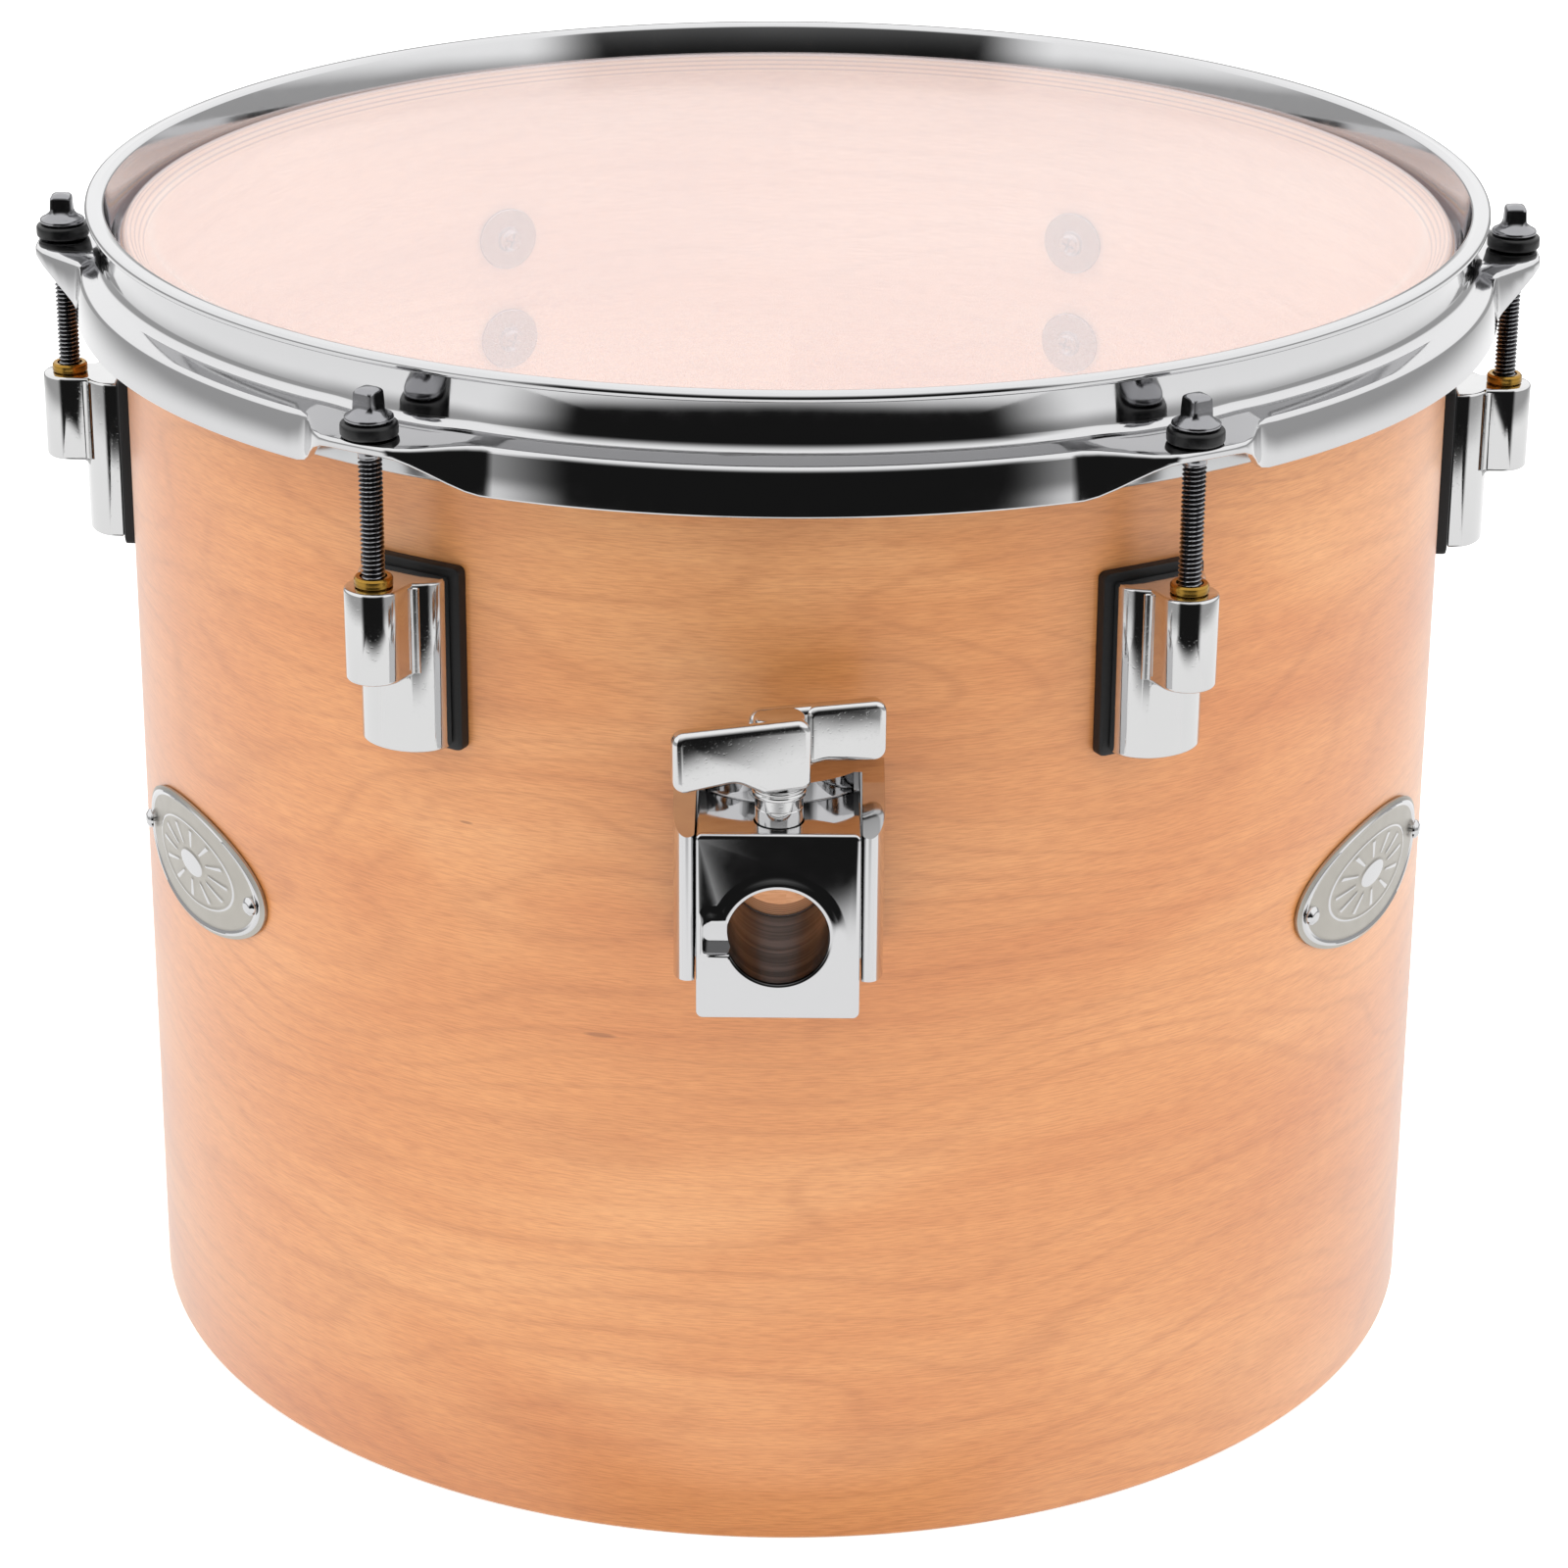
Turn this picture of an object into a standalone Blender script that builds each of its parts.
"""A single-headed tom drum on a wooden shell: six lugs, a flanged steel hoop and a tube clamp.

The drum stands on its open lower rim. Everything is built around the shell's axis, which the
empty "drum_axis" carries; the world origin is the middle of the whole object's footprint.
Angles are measured about that axis from the front (-Y), where the clamp is, towards +X.
Pieces at an angle are drawn at the front and turned. Drops are measured down from the hoop's top.
"""
import math

import bmesh
import bpy
from mathutils import Matrix

MM = 0.001

# Clearances between neighbouring pieces
GAP = 0.3 * MM
HOOP_PLAY = 1.2 * MM
SWEEP_PLAY = 5.0 * MM

# Shell
SHELL_RADIUS = 163.5 * MM
SHELL_WALL = 6.0 * MM
SHELL_HEIGHT = 279.4 * MM
SHELL_EDGE_BREAK = 1.0 * MM
BEARING_EDGE_OUTSET = 1.2 * MM
BEARING_EDGE_FLAT = 1.5 * MM
RING_SEGMENTS = 72

# Drumhead and the steel hoop that holds it
FILM_OVERHANG = 0.6 * MM
FILM_THICKNESS = 0.3 * MM
HOOP_STAND = 7.7 * MM
HOOP_COLLAR_PLAY = 2.1 * MM
HOOP_STEEL = 2.3 * MM
HOOP_LIP_WIDTH = 3.1 * MM
HOOP_SHELF_DROP = 16.1 * MM
HOOP_SHELF_WIDTH = 5.5 * MM
HOOP_BEND_START = 4.4 * MM
HOOP_BEND_MIDDLE = 1.6 * MM
HOOP_BEND_OUT = 2.1 * MM
HOOP_BEND_INSIDE = 3.3 * MM
HOOP_SKIRT_DROP = 27.1 * MM
HOOP_SKIRT_FLARE = 1.6 * MM
EAR_DROP = 15.4 * MM
EAR_EDGE = 6.0 * MM
EAR_FLAT_HALF = 7.0 * MM
EAR_BLEND = 18.0 * MM
EAR_HOLE_RADIUS = 3.5 * MM
EAR_ROOT = 3.8 * MM
EAR_STEPS = 7
FLESH_HOOP_PLAY = 1.5 * MM
FLESH_HOOP_WIDTH = 5.6 * MM
FLESH_HOOP_HEIGHT = 7.5 * MM

# Tension rods, washers and swivel nuts
LUG_COUNT = 6
ROD_STANDOFF = 16.0 * MM
ROD_RADIUS = 2.75 * MM
ROD_LENGTH = 54.4 * MM
ROD_POINT = 0.6 * MM
ROD_FLANGE_RADIUS = 5.5 * MM
ROD_FLANGE_HEIGHT = 0.9 * MM
ROD_KEY_WIDTH = 6.1 * MM
ROD_HEAD_HEIGHT = 7.4 * MM
WASHER_RADIUS = 6.45 * MM
WASHER_THICKNESS = 3.2 * MM
NUT_COLLAR_RADIUS = 4.35 * MM
NUT_COLLAR_HEIGHT = 2.1 * MM
NUT_BODY_RADIUS = 3.7 * MM
NUT_BODY_LENGTH = 12.3 * MM

# Lug casings and their gaskets
LUG_TOP_DROP = 50.0 * MM
LUG_HEIGHT = 40.3 * MM
LUG_HALF_WIDTH = 11.0 * MM
LUG_SIDE_WALL = 1.7 * MM
LUG_DEPTH = 9.8 * MM
BOSS_RADIUS = 6.7 * MM
BOSS_HEIGHT = 21.6 * MM
BOSS_BORE_DEPTH = 19.0 * MM
LUG_GASKET_MARGIN = 2.3 * MM
LUG_GASKET_ABOVE = 2.0 * MM
LUG_GASKET_BELOW = 1.3 * MM
LUG_GASKET_THICKNESS = 2.2 * MM

# Screws that hold the lugs and the clamp from inside the shell
SCREW_RADIUS = 2.0 * MM
SCREW_HEAD_RADIUS = 3.5 * MM
SCREW_HEAD_HEIGHT = 2.4 * MM
SCREW_WASHER_THICKNESS = 1.2 * MM
SCREW_GRIP = 7.5 * MM
LUG_SCREW_SPACING = 28.8 * MM
LUG_SCREW_FROM_TOP = 3.5 * MM
LUG_SCREW_WASHER_RADIUS = 8.5 * MM
CLAMP_SCREW_WASHER_RADIUS = 5.5 * MM
CLAMP_SCREW_SIDE = 14.0 * MM
CLAMP_SCREW_ABOVE = 21.0 * MM
CLAMP_SCREW_BELOW = 13.5 * MM

# Tube clamp: a channel-shaped casing with a sliding eye and a wing bolt
TUBE_AXIS_DROP = 113.5 * MM
TUBE_BORE_RADIUS = 11.1 * MM
CASING_ABOVE = 27.5 * MM
CASING_BELOW_BACK = 19.5 * MM
CASING_FRONT_STEP = 4.5 * MM
CASING_BOTTOM_STEP = 8.7 * MM
CASING_HALF_WIDTH = 23.0 * MM
CASING_FRONT = 37.0 * MM
CASING_STRAIGHT = 25.0 * MM
RAIL_ROUND = 1.2 * MM
SPINE_FOOT = 10.0 * MM
SPINE_CREST = 17.4 * MM
SPINE_HALF_WIDTH = 16.3 * MM
CLAMP_GASKET_THICKNESS = 1.2 * MM
CLAMP_GASKET_INSET = 0.6 * MM
EYE_FRONT = 38.0 * MM
EYE_HALF_WIDTH = 17.8 * MM
EYE_ABOVE = 23.8 * MM
EYE_PLATE_BELOW = 19.7 * MM
EYE_BLOCK_BELOW = 14.5 * MM
EYE_PLATE_THICKNESS = 2.5 * MM
EYE_CORNER = 1.5 * MM
NOTCH_REACH = 16.3 * MM
NOTCH_HEIGHT = 7.0 * MM
NOTCH_DROP = 0.5 * MM
NOTCH_DEPTH = 4.0 * MM
BOLT_AXIS = 27.0 * MM
BOLT_RADIUS = 5.25 * MM
BOLT_SHOWING = 5.5 * MM
BOLT_ENGAGEMENT = 11.0 * MM
BOLT_COLLAR_RADIUS = 5.9 * MM
BOLT_COLLAR_HEIGHT = 2.1 * MM
WING_HUB_RADIUS = 5.7 * MM
WING_NECK = 2.0 * MM
WING_HEIGHT = 14.4 * MM
WING_HALF_SPAN = 25.0 * MM
WING_THICKNESS = 4.5 * MM
WING_OFFSET = 1.4 * MM
WING_BREAK = 0.8 * MM
WING_TURN = math.radians(17.0)

# Oval badges and their round-headed pins
BADGE_ANGLE = math.radians(60.4)
BADGE_DROP = 149.0 * MM
BADGE_HALF_WIDTH = 35.3 * MM
BADGE_HALF_HEIGHT = 15.3 * MM
BADGE_THICKNESS = 1.2 * MM
BADGE_COLUMNS = 16
PIN_INSET = 4.7 * MM
PIN_RADIUS = 0.9 * MM
PIN_HEAD_RADIUS = 2.4 * MM
PIN_HEAD_HEIGHT = 1.5 * MM
PIN_DEPTH = 3.6 * MM

# Places that follow from the sizes above
HOOP_TOP = SHELL_HEIGHT + HOOP_STAND
SHELL_BORE = SHELL_RADIUS - SHELL_WALL
FILM_RADIUS = SHELL_RADIUS + FILM_OVERHANG
ROD_CIRCLE_RADIUS = SHELL_RADIUS + ROD_STANDOFF
HOOP_BORE = SHELL_RADIUS + HOOP_COLLAR_PLAY
HOOP_WALL = HOOP_BORE + HOOP_STEEL
HOOP_REACH = HOOP_WALL + HOOP_SHELF_WIDTH + HOOP_SKIRT_FLARE
EAR_REACH = ROD_CIRCLE_RADIUS + EAR_EDGE
EAR_TOP = HOOP_TOP - EAR_DROP
ROD_SEAT = EAR_TOP + GAP + WASHER_THICKNESS + GAP
LUG_TOP = HOOP_TOP - LUG_TOP_DROP
LUG_BACK = SHELL_RADIUS + GAP + LUG_GASKET_THICKNESS + GAP
TUBE_AXIS = HOOP_TOP - TUBE_AXIS_DROP
CASING_BACK = SHELL_RADIUS + CLAMP_GASKET_THICKNESS + GAP
CHANNEL_HALF_WIDTH = EYE_HALF_WIDTH + GAP
EYE_TOP = TUBE_AXIS + EYE_ABOVE
BADGE_MIDDLE = HOOP_TOP - BADGE_DROP
WING_TIP_DEPTH = WING_HALF_SPAN * math.sin(WING_TURN)
WING_FACE_DEPTH = (WING_OFFSET + WING_THICKNESS) * math.cos(WING_TURN)
FRONT_REACH = SHELL_RADIUS + max(BOLT_AXIS + WING_TIP_DEPTH + WING_FACE_DEPTH, EYE_FRONT)
AXIS_Y = (FRONT_REACH - HOOP_REACH) / 2
LUG_NAMES = ["front_right", "right", "rear_right", "rear_left", "left", "front_left"]
LUG_ANGLES = [2 * math.pi * (i + 0.5) / LUG_COUNT for i in range(LUG_COUNT)]


def clear_scene():
    for old in list(bpy.data.objects):
        bpy.data.objects.remove(old, do_unlink=True)


def finish(name, colour, roughness, metallic):
    """One Principled material."""
    material = bpy.data.materials.new(name)
    material.use_nodes = True
    shader = material.node_tree.nodes["Principled BSDF"]
    shader.inputs["Base Color"].default_value = (*colour, 1.0)
    shader.inputs["Roughness"].default_value = roughness
    shader.inputs["Metallic"].default_value = metallic
    return material


def closed_mesh(work, name):
    """Turn a bmesh into a mesh whose faces point outwards, smooth on its round stretches."""
    bmesh.ops.remove_doubles(work, verts=work.verts, dist=1e-6)
    bmesh.ops.recalc_face_normals(work, faces=work.faces)
    mesh = bpy.data.meshes.new(name)
    work.to_mesh(mesh)
    work.free()
    return shaded(mesh)


def shaded(mesh):
    mesh.shade_smooth()
    mesh.set_sharp_from_angle(angle=math.radians(30))
    return mesh


def moved(mesh, matrix):
    """The same mesh after a turn or a shift."""
    mesh.transform(matrix)
    return mesh


def facing_front(angle=0.0):
    """The turn that lays local Z along the radius at an angle, with local Y upwards."""
    return Matrix.Rotation(angle, 4, "Z") @ Matrix.Rotation(math.pi / 2, 4, "X")


def around(radius, angle, height=0.0):
    """The point at a radius and an angle about the drum's axis."""
    return (radius * math.sin(angle), -radius * math.cos(angle), height)


def lathe(name, outline, segments):
    """A solid of revolution about Z, from an outline of (radius, height) points."""
    work = bmesh.new()
    ring = [work.verts.new((radius, 0, height)) for radius, height in outline]
    edges = [work.edges.new((a, b)) for a, b in zip(ring, ring[1:] + ring[:1])]
    bmesh.ops.spin(
        work, geom=ring + edges, cent=(0, 0, 0), axis=(0, 0, 1),
        angle=2 * math.pi, steps=segments, use_merge=True,
    )
    on_axis = [edge for edge in work.edges if not edge.link_faces]
    bmesh.ops.delete(work, geom=on_axis, context="EDGES")
    return closed_mesh(work, name)


def extrusion(name, outline, low, high):
    """A straight extrusion along Z of an outline of (x, y) points."""
    work = bmesh.new()
    face = work.faces.new([work.verts.new((x, y, low)) for x, y in outline])
    extruded = bmesh.ops.extrude_face_region(work, geom=[face])["geom"]
    lifted = [item for item in extruded if isinstance(item, bmesh.types.BMVert)]
    bmesh.ops.translate(work, verts=lifted, vec=(0, 0, high - low))
    return closed_mesh(work, name)


def loft(name, rings, closed):
    """A skin through rings of points; a closed loft runs round to its first ring."""
    work = bmesh.new()
    loops = [[work.verts.new(point) for point in ring] for ring in rings]
    following = loops[1:] + loops[:1] if closed else loops[1:]
    for loop, after in zip(loops, following):
        for i in range(len(loop)):
            k = (i + 1) % len(loop)
            work.faces.new((loop[i], loop[k], after[k], after[i]))
    if not closed:
        work.faces.new(loops[0])
        work.faces.new(loops[-1])
    return closed_mesh(work, name)


def drill(radius, start, end, height, angle=0.0, side=0.0, segments=8):
    """A round cutter along the radius; side shifts it sideways, as seen from the front."""
    bar = lathe("drill", [(0, start), (radius, start), (radius, end), (0, end)], segments)
    shift = Matrix.Translation((side, 0, height))
    return moved(bar, Matrix.Rotation(angle, 4, "Z") @ shift @ Matrix.Rotation(math.pi / 2, 4, "X"))


def shaped(mesh, *steps):
    """Join or cut a mesh with others: each step is an operation and a list of loose meshes."""
    body = bpy.data.objects.new("body", mesh)
    bpy.context.scene.collection.objects.link(body)
    tools = []
    for operation, pieces in steps:
        work = bmesh.new()
        for piece in pieces:
            work.from_mesh(piece)
        tool_mesh = bpy.data.meshes.new("tool")
        work.to_mesh(tool_mesh)
        work.free()
        tool = bpy.data.objects.new("tool", tool_mesh)
        tool.hide_render = True
        tool.display_type = "WIRE"
        bpy.context.scene.collection.objects.link(tool)
        tools.append(tool)
        modifier = body.modifiers.new(operation.title(), "BOOLEAN")
        modifier.operation = operation
        modifier.object = tool
    bpy.context.view_layer.update()
    evaluated = body.evaluated_get(bpy.context.evaluated_depsgraph_get())
    result = bpy.data.meshes.new_from_object(evaluated)
    result.name = mesh.name
    for used in [body, *tools]:
        bpy.data.objects.remove(used, do_unlink=True)
    return shaded(result)


def node(name, mesh, material, axis, location=(0, 0, 0), turn=0.0):
    """Place one named sub-part on the drum's axis."""
    part = bpy.data.objects.new(name, mesh)
    bpy.context.scene.collection.objects.link(part)
    if not mesh.materials:
        mesh.materials.append(material)
    part.parent = axis
    part.location = location
    part.rotation_euler = (0, 0, turn)


def lug_screw_heights():
    upper = LUG_TOP - LUG_SCREW_FROM_TOP
    return {"upper": upper, "lower": upper - LUG_SCREW_SPACING}


def clamp_screw_places():
    """The side shift and height of each screw behind the clamp."""
    rows = {"upper": TUBE_AXIS + CLAMP_SCREW_ABOVE, "lower": TUBE_AXIS - CLAMP_SCREW_BELOW}
    sides = {"left": -CLAMP_SCREW_SIDE, "right": CLAMP_SCREW_SIDE}
    return {f"{row}_{side}": (sides[side], rows[row]) for row in rows for side in sides}


def pin_angles(side):
    """The angles of a badge's two pins, the one nearer the front first."""
    spread = (BADGE_HALF_WIDTH - PIN_INSET) / SHELL_RADIUS
    return {"front": side * (BADGE_ANGLE - spread), "rear": side * (BADGE_ANGLE + spread)}


def shell():
    edge = SHELL_EDGE_BREAK
    crest_out = SHELL_RADIUS - BEARING_EDGE_OUTSET
    crest_in = crest_out - BEARING_EDGE_FLAT
    outline = [
        (SHELL_BORE + edge, 0), (SHELL_RADIUS - edge, 0), (SHELL_RADIUS, edge),
        (SHELL_RADIUS, SHELL_HEIGHT - BEARING_EDGE_OUTSET), (crest_out, SHELL_HEIGHT),
        (crest_in, SHELL_HEIGHT), (SHELL_BORE, SHELL_HEIGHT - (crest_in - SHELL_BORE)),
        (SHELL_BORE, edge),
    ]
    inside, outside = SHELL_BORE - SWEEP_PLAY, SHELL_RADIUS + SWEEP_PLAY
    screw_hole = SCREW_RADIUS + GAP
    holes = [
        drill(screw_hole, inside, outside, height, angle)
        for angle in LUG_ANGLES for height in lug_screw_heights().values()
    ]
    holes += [
        drill(screw_hole, inside, outside, height, 0.0, side)
        for side, height in clamp_screw_places().values()
    ]
    holes.append(drill(TUBE_BORE_RADIUS + GAP, inside, outside, TUBE_AXIS, segments=28))
    holes += [
        drill(PIN_RADIUS + GAP, SHELL_RADIUS - PIN_DEPTH - GAP, outside, BADGE_MIDDLE, angle)
        for side in (-1, 1) for angle in pin_angles(side).values()
    ]
    return shaped(lathe("shell", outline, RING_SEGMENTS), ("DIFFERENCE", holes))


def drumhead_film():
    low = SHELL_HEIGHT + GAP
    high = low + FILM_THICKNESS
    outline = [(0, low), (FILM_RADIUS, low), (FILM_RADIUS, high), (0, high)]
    return lathe("drumhead_film", outline, RING_SEGMENTS)


def flesh_hoop():
    inner = SHELL_RADIUS + FLESH_HOOP_PLAY
    outer = inner + FLESH_HOOP_WIDTH
    high = HOOP_TOP - HOOP_SHELF_DROP - HOOP_STEEL - HOOP_PLAY + GAP
    low = high - FLESH_HOOP_HEIGHT
    outline = [(inner, low), (outer, low), (outer, high), (inner, high)]
    return lathe("flesh_hoop", outline, RING_SEGMENTS)


def hoop_section(ear):
    """The hoop's (radius, drop) outline: ear is 1 at a rod and 0 along the plain skirt."""
    steel = HOOP_STEEL
    lip = HOOP_WALL + HOOP_LIP_WIDTH
    shelf = HOOP_WALL + HOOP_SHELF_WIDTH
    plain = [
        (HOOP_BORE, 0.4 * steel), (HOOP_BORE + 0.35 * steel, 0), (lip, 0),
        (lip + 0.3 * steel, 0.5 * steel), (lip, steel), (HOOP_WALL, steel),
        (HOOP_WALL, HOOP_SHELF_DROP - HOOP_BEND_START),
        (HOOP_WALL + HOOP_BEND_OUT, HOOP_SHELF_DROP - HOOP_BEND_MIDDLE),
        (shelf, HOOP_SHELF_DROP), (shelf + 0.3 * steel, HOOP_SHELF_DROP + 0.6 * steel),
        (shelf + HOOP_SKIRT_FLARE, HOOP_SKIRT_DROP),
        (shelf + HOOP_SKIRT_FLARE - steel, HOOP_SKIRT_DROP),
        (shelf + 0.3 * steel - steel, HOOP_SHELF_DROP + 1.1 * steel),
        (HOOP_WALL + 0.9 * HOOP_BEND_OUT, HOOP_SHELF_DROP + 0.65 * steel),
        (HOOP_BORE, HOOP_SHELF_DROP - HOOP_BEND_INSIDE),
    ]
    drawn_out = {
        7: (HOOP_WALL + EAR_ROOT, EAR_DROP),
        8: (EAR_REACH - 1.2 * steel, EAR_DROP), 9: (EAR_REACH - 0.3 * steel, EAR_DROP + 0.15 * steel),
        10: (EAR_REACH, EAR_DROP + 0.5 * steel), 11: (EAR_REACH - 0.3 * steel, EAR_DROP + steel),
        12: (EAR_REACH - 1.7 * steel, EAR_DROP + steel),
        13: (HOOP_WALL + 0.95 * EAR_ROOT, EAR_DROP + steel),
    }
    section = []
    for i, (radius, drop) in enumerate(plain):
        far_radius, far_drop = drawn_out.get(i, (radius, drop))
        section.append((radius + (far_radius - radius) * ear, drop + (far_drop - drop) * ear))
    return section


def ear_share(arc):
    """1 on the flat of an ear, falling smoothly to 0 where the plain skirt begins."""
    along = min(max((abs(arc) - EAR_FLAT_HALF) / EAR_BLEND, 0.0), 1.0)
    return 0.5 * (1 + math.cos(math.pi * along))


def counterhoop():
    """One steel section swept round the drum and drawn out into a flat ear at each rod."""
    half_pitch = math.pi / LUG_COUNT
    spread = [half_pitch * (i / EAR_STEPS) ** 1.8 for i in range(EAR_STEPS + 1)]
    offsets = [-offset for offset in reversed(spread[1:-1])] + spread
    rings = []
    for lug_angle in LUG_ANGLES:
        for offset in offsets:
            section = hoop_section(ear_share(offset * HOOP_REACH))
            rings.append([around(r, lug_angle + offset, HOOP_TOP - drop) for r, drop in section])
    low, high = EAR_TOP - 2 * HOOP_STEEL, EAR_TOP + HOOP_STEEL
    hole = [(0, low), (EAR_HOLE_RADIUS, low), (EAR_HOLE_RADIUS, high), (0, high)]
    cutters = [
        moved(lathe("hole", hole, 12), Matrix.Translation(around(ROD_CIRCLE_RADIUS, angle)))
        for angle in LUG_ANGLES
    ]
    return shaped(loft("counterhoop", rings, closed=True), ("DIFFERENCE", cutters))


def rod_washer():
    low = EAR_TOP + GAP
    high = low + WASHER_THICKNESS
    bore = ROD_RADIUS + GAP
    outline = [(bore, low), (WASHER_RADIUS, low), (WASHER_RADIUS, high), (bore, high)]
    return lathe("rod_washer", outline, 12)


def rod_ring(radius, squareness, height, count=16):
    """A ring of a rod's head: a circle that turns into a square as squareness nears 1."""
    ring = []
    for i in range(count):
        angle = 2 * math.pi * i / count
        stretch = 1 / max(abs(math.cos(angle)), abs(math.sin(angle)))
        reach = radius * (1 + (stretch - 1) * squareness)
        ring.append((reach * math.cos(angle), reach * math.sin(angle), height))
    return ring


def tension_rod():
    """A rod with a flanged square key head; the thread is left as its outer cylinder."""
    tip = ROD_SEAT - ROD_LENGTH
    top = ROD_SEAT + ROD_HEAD_HEIGHT
    half = ROD_KEY_WIDTH / 2
    rings = [
        rod_ring(ROD_RADIUS - ROD_POINT, 0, tip),
        rod_ring(ROD_RADIUS, 0, tip + ROD_POINT),
        rod_ring(ROD_RADIUS, 0, ROD_SEAT),
        rod_ring(ROD_FLANGE_RADIUS, 0, ROD_SEAT),
        rod_ring(ROD_FLANGE_RADIUS, 0, ROD_SEAT + ROD_FLANGE_HEIGHT),
        rod_ring(1.2 * half, 0.4, ROD_SEAT + 0.35 * ROD_HEAD_HEIGHT),
        rod_ring(half, 0.85, ROD_SEAT + 0.5 * ROD_HEAD_HEIGHT),
        rod_ring(0.94 * half, 0.85, top - 0.12 * ROD_HEAD_HEIGHT),
        rod_ring(0.7 * half, 0.6, top),
    ]
    return loft("tension_rod", rings, closed=False)


def swivel_nut():
    bore = ROD_RADIUS + GAP
    seat = LUG_TOP + GAP
    top, tip = seat + NUT_COLLAR_HEIGHT, seat - NUT_BODY_LENGTH
    outline = [
        (bore, tip), (NUT_BODY_RADIUS, tip), (NUT_BODY_RADIUS, seat),
        (NUT_COLLAR_RADIUS, seat), (NUT_COLLAR_RADIUS, top), (bore, top),
    ]
    return lathe("swivel_nut", outline, 10)


def shell_curve(half_width, radius, steps):
    """Points from +x to -x that follow the front of the shell at a radius."""
    widths = [half_width * (1 - 2 * i / steps) for i in range(steps + 1)]
    return [(x, -math.sqrt(radius ** 2 - x ** 2)) for x in widths]


def lug_gasket():
    half = LUG_HALF_WIDTH + LUG_GASKET_MARGIN
    face = SHELL_RADIUS + GAP + LUG_GASKET_THICKNESS
    outline = [(-half, -face), (half, -face)] + shell_curve(half, SHELL_RADIUS + GAP, 6)
    pad = extrusion(
        "lug_gasket", outline,
        LUG_TOP - LUG_HEIGHT - LUG_GASKET_BELOW, LUG_TOP + LUG_GASKET_ABOVE,
    )
    holes = [
        drill(SCREW_RADIUS + GAP, SHELL_BORE, LUG_BACK + SWEEP_PLAY, height)
        for height in lug_screw_heights().values()
    ]
    return shaped(pad, ("DIFFERENCE", holes))


def half_round(half_width, shoulder, depth, back, steps):
    """An outline with a flat back, straight sides out to a shoulder and a half-round front."""
    outline = [(half_width, -back), (-half_width, -back)]
    for i in range(steps + 1):
        angle = math.pi * i / steps
        outline.append((-half_width * math.cos(angle), -shoulder - depth * math.sin(angle)))
    return outline


def lug_casing():
    """A half-round column and, at its upper end, a round boss on a flat-sided web."""
    shoulder = LUG_BACK + LUG_SIDE_WALL
    column_outline = half_round(
        LUG_HALF_WIDTH, shoulder, LUG_DEPTH - LUG_SIDE_WALL, LUG_BACK, 10
    )
    boss_outline = half_round(
        BOSS_RADIUS, ROD_CIRCLE_RADIUS, BOSS_RADIUS, LUG_BACK + LUG_SIDE_WALL, 10
    )
    column = extrusion("lug_casing", column_outline, LUG_TOP - LUG_HEIGHT, LUG_TOP)
    boss = extrusion("boss", boss_outline, LUG_TOP - BOSS_HEIGHT, LUG_TOP)
    bore = NUT_BODY_RADIUS + GAP
    bottom, mouth = LUG_TOP - BOSS_BORE_DEPTH, LUG_TOP + SWEEP_PLAY
    socket = lathe("socket", [(0, bottom), (bore, bottom), (bore, mouth), (0, mouth)], 12)
    holes = [moved(socket, Matrix.Translation((0, -ROD_CIRCLE_RADIUS, 0)))]
    for height in lug_screw_heights().values():
        holes.append(drill(SCREW_RADIUS + GAP, SHELL_BORE, LUG_BACK + SCREW_GRIP + GAP, height))
    return shaped(column, ("UNION", [boss]), ("DIFFERENCE", holes))


def screw(name, washer_radius, tip):
    """A pan-head screw with its round washer pressed on, pointing out through the shell."""
    seat = math.sqrt(SHELL_BORE ** 2 - washer_radius ** 2) - GAP
    under_head = seat - SCREW_WASHER_THICKNESS
    crown = under_head - SCREW_HEAD_HEIGHT
    outline = [
        (0, crown), (0.7 * SCREW_HEAD_RADIUS, crown),
        (SCREW_HEAD_RADIUS, crown + 0.5 * SCREW_HEAD_HEIGHT), (SCREW_HEAD_RADIUS, under_head),
        (washer_radius, under_head), (washer_radius, seat), (SCREW_RADIUS, seat),
        (SCREW_RADIUS, tip), (0, tip),
    ]
    return moved(lathe(name, outline, 10), facing_front())


def clamp_screw(side):
    """The same screw, set beside the clamp's middle where the shell has curved away."""
    away = math.sqrt(SHELL_BORE ** 2 - (abs(side) + CLAMP_SCREW_WASHER_RADIUS) ** 2)
    flat = math.sqrt(SHELL_BORE ** 2 - CLAMP_SCREW_WASHER_RADIUS ** 2)
    short = screw("clamp_screw", CLAMP_SCREW_WASHER_RADIUS, CASING_BACK + SCREW_GRIP + flat - away)
    return moved(short, Matrix.Translation((0, flat - away, 0)))


def clamp_gasket():
    half = CASING_HALF_WIDTH - CLAMP_GASKET_INSET
    face = SHELL_RADIUS + CLAMP_GASKET_THICKNESS
    outline = [(-half, -face), (half, -face)] + shell_curve(half, SHELL_RADIUS + GAP, 10)
    low = TUBE_AXIS - CASING_BELOW_BACK + CLAMP_GASKET_INSET
    high = TUBE_AXIS + CASING_ABOVE - CLAMP_GASKET_INSET
    reach = CASING_BACK + SWEEP_PLAY
    holes = [
        drill(SCREW_RADIUS + GAP, SHELL_BORE, reach, height, 0.0, side)
        for side, height in clamp_screw_places().values()
    ]
    holes.append(drill(TUBE_BORE_RADIUS + GAP, SHELL_BORE, reach, TUBE_AXIS, segments=28))
    return shaped(extrusion("clamp_gasket", outline, low, high), ("DIFFERENCE", holes))


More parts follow.
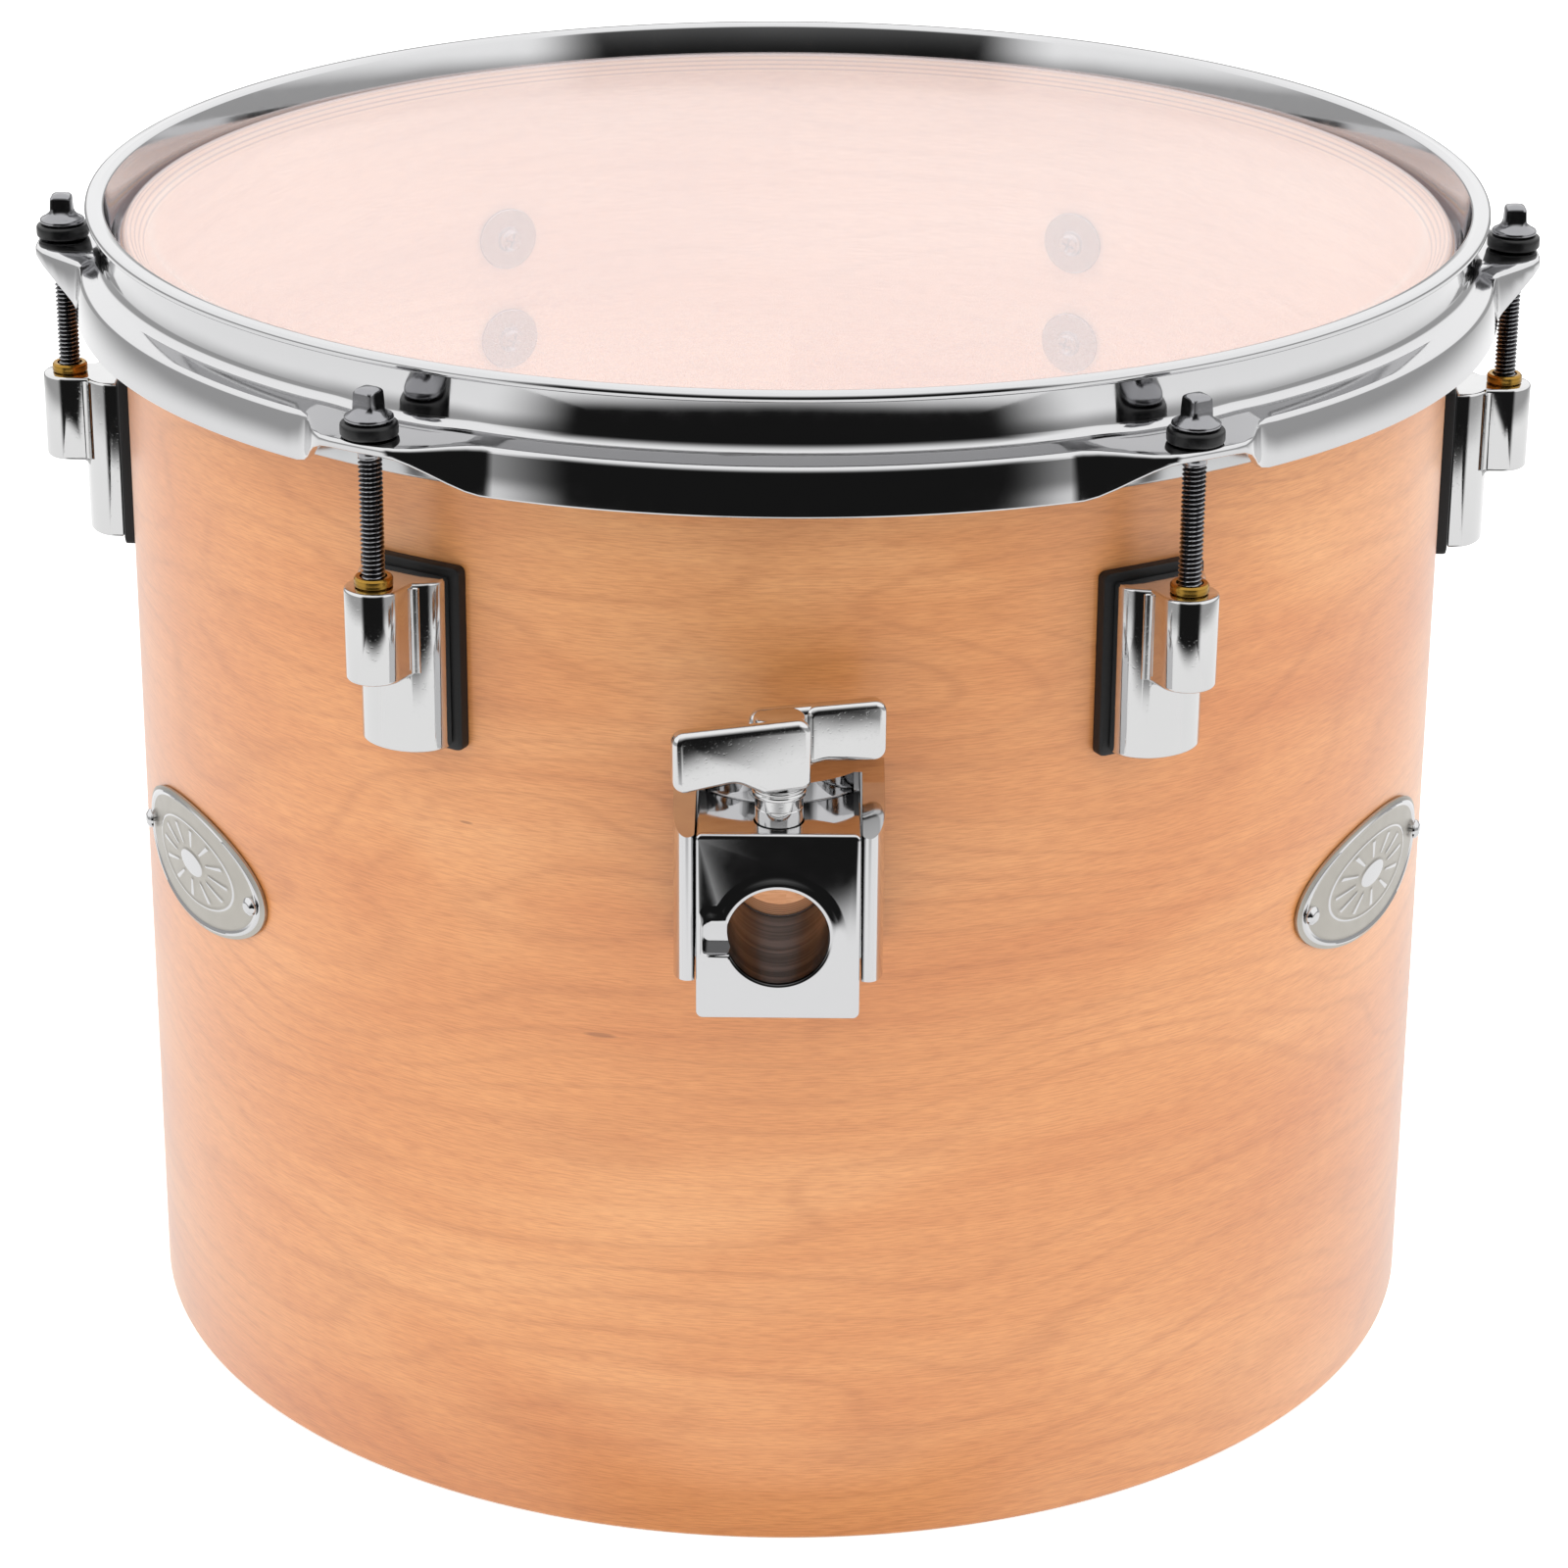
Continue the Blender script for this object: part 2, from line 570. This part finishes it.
def spine_front(grow, half_width, steps=12):
    """The convex front of the casing's spine from -x to +x, moved forwards by grow."""
    rise = SPINE_CREST - SPINE_FOOT
    radius = (SPINE_HALF_WIDTH ** 2 + rise ** 2) / (2 * rise)
    centre = SHELL_RADIUS + SPINE_CREST - radius
    points = []
    for i in range(steps + 1):
        x = half_width * (2 * i / steps - 1)
        points.append((x, -centre - math.sqrt((radius + grow) ** 2 - x ** 2)))
    return points


def clamp_casing():
    """A channel with a convex spine between two rails, its top and bottom sloping forwards."""
    wide, channel = CASING_HALF_WIDTH, CHANNEL_HALF_WIDTH
    front = SHELL_RADIUS + CASING_FRONT
    straight = SHELL_RADIUS + CASING_STRAIGHT
    crown = channel + RAIL_ROUND
    steps = 5
    rail = [(wide, -CASING_BACK)]
    for i in range(steps + 1):
        angle = math.pi / 2 * i / steps
        x = crown + (wide - crown) * math.cos(angle)
        rail.append((x, -straight - (front - straight) * math.sin(angle)))
    for i in range(1, 4):
        angle = math.pi / 2 * i / 3
        rail.append((crown - RAIL_ROUND * math.sin(angle), -front + RAIL_ROUND * (1 - math.cos(angle))))
    rail.append((channel, -SHELL_RADIUS - SPINE_FOOT))
    spine = list(reversed(spine_front(0.0, SPINE_HALF_WIDTH)))
    outline = rail + spine + [(-x, y) for x, y in reversed(rail)]
    top, bottom = TUBE_AXIS + CASING_ABOVE, TUBE_AXIS - CASING_BELOW_BACK
    body = extrusion("clamp_casing", outline, bottom, top)
    window = side_window(top, bottom)
    holes = [drill(TUBE_BORE_RADIUS + GAP, SHELL_RADIUS, front, TUBE_AXIS, segments=28)]
    for side, height in clamp_screw_places().values():
        deep = CASING_BACK + SCREW_GRIP + GAP
        holes.append(drill(SCREW_RADIUS + GAP, SHELL_RADIUS, deep, height, 0.0, side))
    return shaped(body, ("INTERSECT", [window]), ("DIFFERENCE", holes))


def side_window(top, bottom):
    """The casing's outline from the side, as a block that runs past it to left and right."""
    back, far = CASING_BACK - SWEEP_PLAY, CASING_FRONT + SHELL_RADIUS
    crest = SHELL_RADIUS + SPINE_CREST
    beyond = far + SWEEP_PLAY
    outline = [
        (back, top + SWEEP_PLAY), (CASING_BACK, top), (crest, top), (far, top - CASING_FRONT_STEP),
        (beyond, top - CASING_FRONT_STEP), (beyond, bottom + CASING_BOTTOM_STEP),
        (far, bottom + CASING_BOTTOM_STEP), (CASING_BACK, bottom), (back, bottom - SWEEP_PLAY),
    ]
    half = CASING_HALF_WIDTH + SWEEP_PLAY
    sideways = Matrix(((0, 0, -1), (-1, 0, 0), (0, 1, 0))).to_4x4()
    return moved(extrusion("side_window", outline, -half, half), sideways)


def rounded_rectangle(half_width, bottom, top, corner, steps=3):
    """An (x, z) outline with round corners."""
    centres = [
        (half_width - corner, top - corner), (corner - half_width, top - corner),
        (corner - half_width, bottom + corner), (half_width - corner, bottom + corner),
    ]
    outline = []
    for quarter, (x, z) in enumerate(centres):
        for i in range(steps + 1):
            angle = math.pi / 2 * (quarter + i / steps)
            outline.append((x + corner * math.cos(angle), z + corner * math.sin(angle)))
    return outline


def clamp_eye():
    """The sliding eye: a front plate on a block, with the tube's bore and the bolt's hole."""
    face = SHELL_RADIUS + EYE_FRONT
    plate_back = face - EYE_PLATE_THICKNESS
    plate_outline = rounded_rectangle(
        EYE_HALF_WIDTH, TUBE_AXIS - EYE_PLATE_BELOW, EYE_TOP, EYE_CORNER
    )
    plate = moved(extrusion("clamp_eye", plate_outline, plate_back, face), facing_front())
    half = EYE_HALF_WIDTH
    foot = -SHELL_RADIUS - SPINE_FOOT - GAP
    overlap = EYE_PLATE_THICKNESS / 2
    outline = [(half, -plate_back - overlap), (half, foot)]
    outline += list(reversed(spine_front(GAP, SPINE_HALF_WIDTH)))
    outline += [(-half, foot), (-half, -plate_back - overlap)]
    block_top = EYE_TOP - EYE_CORNER / 2
    block = extrusion("block", outline, TUBE_AXIS - EYE_BLOCK_BELOW, block_top)
    past = face + SWEEP_PLAY
    bore = drill(TUBE_BORE_RADIUS, SHELL_RADIUS, past, TUBE_AXIS, segments=28)
    notch_low = TUBE_AXIS - NOTCH_DROP - NOTCH_HEIGHT / 2
    notch_outline = [
        (-NOTCH_REACH, notch_low), (0, notch_low),
        (0, notch_low + NOTCH_HEIGHT), (-NOTCH_REACH, notch_low + NOTCH_HEIGHT),
    ]
    notch = moved(extrusion("notch", notch_outline, face - NOTCH_DEPTH, past), facing_front())
    radius = BOLT_RADIUS + GAP
    mouth = EYE_TOP + SWEEP_PLAY
    hole = lathe("hole", [(0, TUBE_AXIS), (radius, TUBE_AXIS), (radius, mouth), (0, mouth)], 20)
    moved(hole, Matrix.Translation(around(SHELL_RADIUS + BOLT_AXIS, 0.0)))
    return shaped(
        plate, ("UNION", [block]), ("DIFFERENCE", [bore]),
        ("DIFFERENCE", [notch]), ("DIFFERENCE", [hole]),
    )


def wing_bolt():
    """A cast two-bladed wing on a steel bolt; local Z is the bolt's axis."""
    tip = EYE_TOP - BOLT_ENGAGEMENT
    collar_low = EYE_TOP + BOLT_SHOWING
    collar_high = collar_low + BOLT_COLLAR_HEIGHT
    wing_low = collar_high + WING_NECK
    wing_high = wing_low + WING_HEIGHT
    hub_high = wing_high - WING_BREAK / 4
    outline = [
        (0, tip), (BOLT_RADIUS, tip), (BOLT_RADIUS, collar_low), (BOLT_COLLAR_RADIUS, collar_low),
        (BOLT_COLLAR_RADIUS, collar_high), (WING_HUB_RADIUS, collar_high),
        (WING_HUB_RADIUS, hub_high - WING_BREAK), (WING_HUB_RADIUS - WING_BREAK, hub_high),
        (0, hub_high),
    ]
    near, far, tip_x = WING_OFFSET, WING_OFFSET + WING_THICKNESS, WING_HALF_SPAN
    blade = [
        (0, -near), (0, -far), (WING_BREAK - tip_x, -far), (-tip_x, WING_BREAK - far),
        (-tip_x, -near - WING_BREAK), (WING_BREAK - tip_x, -near),
    ]
    near_blade = extrusion("blade", blade, wing_low, wing_high)
    far_blade = extrusion("blade", [(-x, -y) for x, y in blade], wing_low, wing_high)
    return shaped(lathe("wing_bolt", outline, 24), ("UNION", [near_blade]), ("UNION", [far_blade]))


def badge(side):
    """A thin oval plate bent round the shell, with a hole near each end for its pins."""
    inner = SHELL_RADIUS + GAP
    outer = inner + BADGE_THICKNESS
    end = math.asin(0.08)
    rings = []
    for i in range(BADGE_COLUMNS + 1):
        along = end + (math.pi - 2 * end) * i / BADGE_COLUMNS
        angle = side * BADGE_ANGLE - BADGE_HALF_WIDTH * math.cos(along) / SHELL_RADIUS
        reach = BADGE_HALF_HEIGHT * math.sin(along)
        corners = [(outer, -reach), (outer, reach), (inner, reach), (inner, -reach)]
        rings.append([around(r, angle, BADGE_MIDDLE + z) for r, z in corners])
    holes = [
        drill(PIN_RADIUS + GAP, SHELL_BORE, outer + SWEEP_PLAY, BADGE_MIDDLE, angle)
        for angle in pin_angles(side).values()
    ]
    return shaped(loft("badge", rings, closed=False), ("DIFFERENCE", holes))


def badge_pin():
    """A round-headed pin that points into the shell."""
    point = SHELL_RADIUS - PIN_DEPTH
    seat = SHELL_RADIUS + GAP + BADGE_THICKNESS + GAP
    crown = seat + PIN_HEAD_HEIGHT
    outline = [
        (0, point), (PIN_RADIUS, point), (PIN_RADIUS, seat), (PIN_HEAD_RADIUS, seat),
        (0.9 * PIN_HEAD_RADIUS, seat + 0.5 * PIN_HEAD_HEIGHT),
        (0.5 * PIN_HEAD_RADIUS, crown - 0.1 * PIN_HEAD_HEIGHT), (0, crown),
    ]
    return moved(lathe("badge_pin", outline, 10), facing_front())


def build():
    clear_scene()
    axis = bpy.data.objects.new("drum_axis", None)
    axis.location = (0, AXIS_Y, 0)
    bpy.context.scene.collection.objects.link(axis)

    veneer = finish("satin maple veneer", (0.72, 0.38, 0.16), 0.42, 0.0)
    film = finish("clear polyester film", (0.93, 0.89, 0.87), 0.12, 0.0)
    aluminium = finish("mill aluminium", (0.70, 0.70, 0.71), 0.35, 1.0)
    chrome = finish("chrome plate", (0.80, 0.80, 0.81), 0.08, 1.0)
    steel = finish("plated steel", (0.40, 0.40, 0.40), 0.28, 1.0)
    brass = finish("turned brass", (0.72, 0.50, 0.16), 0.28, 1.0)
    rubber = finish("black rubber", (0.012, 0.012, 0.013), 0.55, 0.0)
    nylon = finish("black nylon", (0.015, 0.015, 0.016), 0.42, 0.0)
    silver = finish("blasted nickel silver", (0.62, 0.60, 0.57), 0.38, 1.0)

    node("shell", shell(), veneer, axis)
    node("drumhead_film", drumhead_film(), film, axis)
    node("flesh_hoop", flesh_hoop(), aluminium, axis)
    node("counterhoop", counterhoop(), chrome, axis)

    casing, gasket, nut = lug_casing(), lug_gasket(), swivel_nut()
    rod, washer = tension_rod(), rod_washer()
    lug_screw = screw("lug_screw", LUG_SCREW_WASHER_RADIUS, LUG_BACK + SCREW_GRIP)
    for name, angle in zip(LUG_NAMES, LUG_ANGLES):
        over_nut = around(ROD_CIRCLE_RADIUS, angle)
        node(f"lug_casing_{name}", casing, chrome, axis, turn=angle)
        node(f"lug_gasket_{name}", gasket, rubber, axis, turn=angle)
        node(f"swivel_nut_{name}", nut, brass, axis, over_nut, angle)
        node(f"rod_washer_{name}", washer, nylon, axis, over_nut, angle)
        node(f"tension_rod_{name}", rod, steel, axis, over_nut, angle)
        for row, height in lug_screw_heights().items():
            node(f"lug_screw_{name}_{row}", lug_screw, steel, axis, (0, 0, height), angle)

    node("clamp_gasket", clamp_gasket(), rubber, axis)
    node("clamp_casing", clamp_casing(), chrome, axis)
    node("clamp_eye", clamp_eye(), chrome, axis)
    node("wing_bolt", wing_bolt(), chrome, axis, around(SHELL_RADIUS + BOLT_AXIS, 0.0), WING_TURN)
    short_screw = clamp_screw(CLAMP_SCREW_SIDE)
    for place, (side, height) in clamp_screw_places().items():
        node(f"clamp_screw_{place}", short_screw, steel, axis, (side, 0, height))

    pin = badge_pin()
    for name, side in (("left", -1), ("right", 1)):
        node(f"badge_{name}", badge(side), silver, axis)
        for place, angle in pin_angles(side).items():
            node(f"badge_pin_{name}_{place}", pin, steel, axis, (0, 0, BADGE_MIDDLE), angle)


build()
